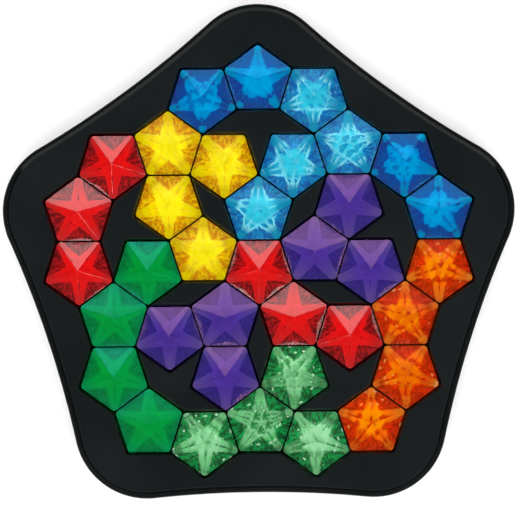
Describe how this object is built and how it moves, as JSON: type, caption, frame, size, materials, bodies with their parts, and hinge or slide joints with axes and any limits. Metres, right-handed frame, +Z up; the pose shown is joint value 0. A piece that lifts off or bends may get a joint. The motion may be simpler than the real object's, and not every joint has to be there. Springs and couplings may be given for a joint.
{
  "type": "pentagon gem tray puzzle",
  "caption": "Flat five-cornered packing puzzle: a black tray holding removable transparent coloured chains of faceted pentagonal gems.",
  "frame": {"origin": "on the tray's five-fold axis, at the surface that the feet stand on", "axes": "+Z up out of the tray, +Y towards the tray's single top corner, +X to the right when looking down with that corner up"},
  "size_m": [0.1758, 0.1697, 0.0202],
  "materials": {
    "black_plastic": "fine satin texture",
    "clear_dark_blue": "transparent, polished facets",
    "clear_light_blue": "transparent, polished facets",
    "clear_yellow": "transparent, polished facets",
    "clear_red": "transparent, polished facets",
    "clear_purple": "transparent, polished facets",
    "clear_dark_green": "transparent, polished facets",
    "clear_orange": "transparent, polished facets",
    "clear_light_green": "transparent, polished facets",
    "zinc_steel": "zinc plated",
    "black_rubber": "matt"
  },
  "bodies": {
    "tray": {"tray_insert": "black_plastic", "base_shell": "black_plastic", "screw_top": "zinc_steel", "screw_left": "zinc_steel", "screw_bottom_left": "zinc_steel", "screw_bottom_right": "zinc_steel", "screw_right": "zinc_steel", "foot_centre": "black_rubber", "foot_top": "black_rubber", "foot_left": "black_rubber", "foot_bottom_left": "black_rubber", "foot_bottom_right": "black_rubber", "foot_right": "black_rubber"},
    "piece_dark_blue_top": {"gem_dark_blue_top": "clear_dark_blue"},
    "piece_dark_blue_right": {"gem_dark_blue_right": "clear_dark_blue"},
    "piece_light_blue": {"gem_light_blue": "clear_light_blue"},
    "piece_yellow": {"gem_yellow": "clear_yellow"},
    "piece_red_left": {"gem_red_left": "clear_red"},
    "piece_red_centre": {"gem_red_centre": "clear_red"},
    "piece_purple_left": {"gem_purple_left": "clear_purple"},
    "piece_purple_right": {"gem_purple_right": "clear_purple"},
    "piece_dark_green": {"gem_dark_green": "clear_dark_green"},
    "piece_orange": {"gem_orange": "clear_orange"},
    "piece_light_green": {"gem_light_green": "clear_light_green"}
  },
  "joints": [
    {"name": "lift_dark_blue_top", "type": "slide", "parent": "tray", "child": "piece_dark_blue_top", "axis": [0, 0, 1], "range_m": [0, 0.025]},
    {"name": "lift_dark_blue_right", "type": "slide", "parent": "tray", "child": "piece_dark_blue_right", "axis": [0, 0, 1], "range_m": [0, 0.025]},
    {"name": "lift_light_blue", "type": "slide", "parent": "tray", "child": "piece_light_blue", "axis": [0, 0, 1], "range_m": [0, 0.025]},
    {"name": "lift_yellow", "type": "slide", "parent": "tray", "child": "piece_yellow", "axis": [0, 0, 1], "range_m": [0, 0.025]},
    {"name": "lift_red_left", "type": "slide", "parent": "tray", "child": "piece_red_left", "axis": [0, 0, 1], "range_m": [0, 0.025]},
    {"name": "lift_red_centre", "type": "slide", "parent": "tray", "child": "piece_red_centre", "axis": [0, 0, 1], "range_m": [0, 0.025]},
    {"name": "lift_purple_left", "type": "slide", "parent": "tray", "child": "piece_purple_left", "axis": [0, 0, 1], "range_m": [0, 0.025]},
    {"name": "lift_purple_right", "type": "slide", "parent": "tray", "child": "piece_purple_right", "axis": [0, 0, 1], "range_m": [0, 0.025]},
    {"name": "lift_dark_green", "type": "slide", "parent": "tray", "child": "piece_dark_green", "axis": [0, 0, 1], "range_m": [0, 0.025]},
    {"name": "lift_orange", "type": "slide", "parent": "tray", "child": "piece_orange", "axis": [0, 0, 1], "range_m": [0, 0.025]},
    {"name": "lift_light_green", "type": "slide", "parent": "tray", "child": "piece_light_green", "axis": [0, 0, 1], "range_m": [0, 0.025]}
  ]
}
